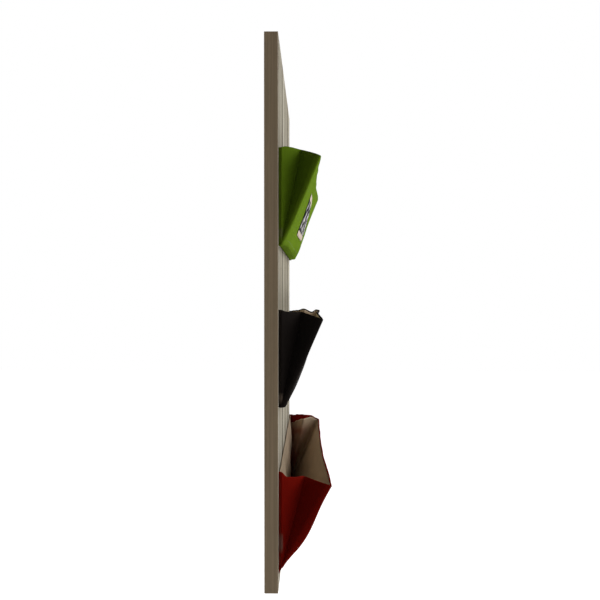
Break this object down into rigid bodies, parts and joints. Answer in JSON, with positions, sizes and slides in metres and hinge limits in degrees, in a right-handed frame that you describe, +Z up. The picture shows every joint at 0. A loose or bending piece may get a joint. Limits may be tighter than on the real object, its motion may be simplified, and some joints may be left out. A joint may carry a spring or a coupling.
{
  "type": "wall mail sorter",
  "caption": "Rectangular wall board with open-topped cloth bellows pockets one above the other for letters and papers; it hangs on keyhole plates let into its back.",
  "frame": {"origin": "middle of the board's back face, which lies on the wall", "axes": "+Z up along the board's height, +Y into the wall, -Y the front with the pockets, +X to the right of someone who faces the front"},
  "size_m": [0.4, 0.0726, 0.6],
  "materials": {
    "fibreboard": "raw, matt",
    "weathered_print": "matt print of pale weathered planks",
    "edge_band": "matt, fine grain",
    "steel": "zinc plated",
    "green_cloth": "close woven, matt",
    "black_cloth": "close woven, matt",
    "red_cloth": "close woven, matt",
    "lining_cloth": "plain woven, matt",
    "label_card": "satin print"
  },
  "bodies": {
    "panel": {"core_board": "fibreboard", "face_sheet": "weathered_print", "edge_band_left": "edge_band", "edge_band_right": "edge_band", "edge_band_top": "edge_band", "edge_band_bottom": "edge_band", "keyhole_plate_left": "steel", "plate_screw_left_lower": "steel", "plate_screw_left_upper": "steel", "keyhole_plate_right": "steel", "plate_screw_right_lower": "steel", "plate_screw_right_upper": "steel", "green_back_panel": "lining_cloth", "green_bottom_binding": "green_cloth", "green_tack_left": "steel", "green_tack_middle": "steel", "green_tack_right": "steel", "black_back_panel": "lining_cloth", "black_bottom_binding": "black_cloth", "black_tack_left": "steel", "black_tack_middle": "steel", "black_tack_right": "steel", "red_back_panel": "lining_cloth", "red_bottom_binding": "red_cloth", "red_tack_left": "steel", "red_tack_middle": "steel", "red_tack_right": "steel"},
    "green_front": {"green_front_panel": "green_cloth", "green_front_lining": "lining_cloth", "green_label": "label_card"},
    "green_rear_leaf_left": {"green_gusset_rear_left": "green_cloth"},
    "green_front_leaf_left": {"green_gusset_front_left": "green_cloth"},
    "green_rear_leaf_right": {"green_gusset_rear_right": "green_cloth"},
    "green_front_leaf_right": {"green_gusset_front_right": "green_cloth"},
    "black_front": {"black_front_panel": "black_cloth", "black_front_lining": "lining_cloth"},
    "black_rear_leaf_left": {"black_gusset_rear_left": "black_cloth"},
    "black_front_leaf_left": {"black_gusset_front_left": "black_cloth"},
    "black_rear_leaf_right": {"black_gusset_rear_right": "black_cloth"},
    "black_front_leaf_right": {"black_gusset_front_right": "black_cloth"},
    "red_front": {"red_front_panel": "red_cloth", "red_front_lining": "lining_cloth"},
    "red_rear_leaf_left": {"red_gusset_rear_left": "red_cloth"},
    "red_front_leaf_left": {"red_gusset_front_left": "red_cloth"},
    "red_rear_leaf_right": {"red_gusset_rear_right": "red_cloth"},
    "red_front_leaf_right": {"red_gusset_front_right": "red_cloth"}
  },
  "joints": [
    {"name": "green_front_fold", "type": "hinge", "parent": "panel", "child": "green_front", "pos_m": [0, -0.018, 0.0755], "axis": [1, 0, 0], "range_deg": [-17.4, 3]},
    {"name": "green_rear_leaf_fold_left", "type": "hinge", "parent": "panel", "child": "green_rear_leaf_left", "pos_m": [-0.194, -0.018, 0.0755], "axis": [0, 0, 1], "range_deg": [-6.4, 36.3]},
    {"name": "green_front_leaf_fold_left", "type": "hinge", "parent": "green_front", "child": "green_front_leaf_left", "pos_m": [-0.194, -0.018, 0.0755], "axis": [0, -0.3811, 0.9245], "range_deg": [-36.3, 6.4]},
    {"name": "green_rear_leaf_fold_right", "type": "hinge", "parent": "panel", "child": "green_rear_leaf_right", "pos_m": [0.194, -0.018, 0.0755], "axis": [0, 0, 1], "range_deg": [-36.3, 6.4]},
    {"name": "green_front_leaf_fold_right", "type": "hinge", "parent": "green_front", "child": "green_front_leaf_right", "pos_m": [0.194, -0.018, 0.0755], "axis": [0, -0.3811, 0.9245], "range_deg": [-6.4, 36.3]},
    {"name": "black_front_fold", "type": "hinge", "parent": "panel", "child": "black_front", "pos_m": [0, -0.018, -0.0992], "axis": [1, 0, 0], "range_deg": [-18.9, 3]},
    {"name": "black_rear_leaf_fold_left", "type": "hinge", "parent": "panel", "child": "black_rear_leaf_left", "pos_m": [-0.194, -0.018, -0.0992], "axis": [0, 0, 1], "range_deg": [-6.2, 38.2]},
    {"name": "black_front_leaf_fold_left", "type": "hinge", "parent": "black_front", "child": "black_front_leaf_left", "pos_m": [-0.194, -0.018, -0.0992], "axis": [0, -0.4051, 0.9143], "range_deg": [-38.2, 6.2]},
    {"name": "black_rear_leaf_fold_right", "type": "hinge", "parent": "panel", "child": "black_rear_leaf_right", "pos_m": [0.194, -0.018, -0.0992], "axis": [0, 0, 1], "range_deg": [-38.2, 6.2]},
    {"name": "black_front_leaf_fold_right", "type": "hinge", "parent": "black_front", "child": "black_front_leaf_right", "pos_m": [0.194, -0.018, -0.0992], "axis": [0, -0.4051, 0.9143], "range_deg": [-6.2, 38.2]},
    {"name": "red_front_fold", "type": "hinge", "parent": "panel", "child": "red_front", "pos_m": [0, -0.018, -0.2739], "axis": [1, 0, 0], "range_deg": [-18.5, 3]},
    {"name": "red_rear_leaf_fold_left", "type": "hinge", "parent": "panel", "child": "red_rear_leaf_left", "pos_m": [-0.194, -0.018, -0.2739], "axis": [0, 0, 1], "range_deg": [-5.6, 33.7]},
    {"name": "red_front_leaf_fold_left", "type": "hinge", "parent": "red_front", "child": "red_front_leaf_left", "pos_m": [-0.194, -0.018, -0.2739], "axis": [0, -0.4985, 0.8669], "range_deg": [-33.7, 5.6]},
    {"name": "red_rear_leaf_fold_right", "type": "hinge", "parent": "panel", "child": "red_rear_leaf_right", "pos_m": [0.194, -0.018, -0.2739], "axis": [0, 0, 1], "range_deg": [-37.7, 6.2]},
    {"name": "red_front_leaf_fold_right", "type": "hinge", "parent": "red_front", "child": "red_front_leaf_right", "pos_m": [0.194, -0.018, -0.2739], "axis": [0, -0.3987, 0.9171], "range_deg": [-6.2, 37.7]}
  ],
  "couplings": [
    {"joint": "green_rear_leaf_fold_left", "follows": "green_front_fold", "ratio": -2.075},
    {"joint": "green_front_leaf_fold_left", "follows": "green_front_fold", "ratio": 2.075},
    {"joint": "green_rear_leaf_fold_right", "follows": "green_front_fold", "ratio": 2.075},
    {"joint": "green_front_leaf_fold_right", "follows": "green_front_fold", "ratio": -2.075},
    {"joint": "black_rear_leaf_fold_left", "follows": "black_front_fold", "ratio": -2.015},
    {"joint": "black_front_leaf_fold_left", "follows": "black_front_fold", "ratio": 2.015},
    {"joint": "black_rear_leaf_fold_right", "follows": "black_front_fold", "ratio": 2.015},
    {"joint": "black_front_leaf_fold_right", "follows": "black_front_fold", "ratio": -2.015},
    {"joint": "red_rear_leaf_fold_left", "follows": "red_front_fold", "ratio": -1.815},
    {"joint": "red_front_leaf_fold_left", "follows": "red_front_fold", "ratio": 1.815},
    {"joint": "red_rear_leaf_fold_right", "follows": "red_front_fold", "ratio": 2.03},
    {"joint": "red_front_leaf_fold_right", "follows": "red_front_fold", "ratio": -2.03}
  ]
}
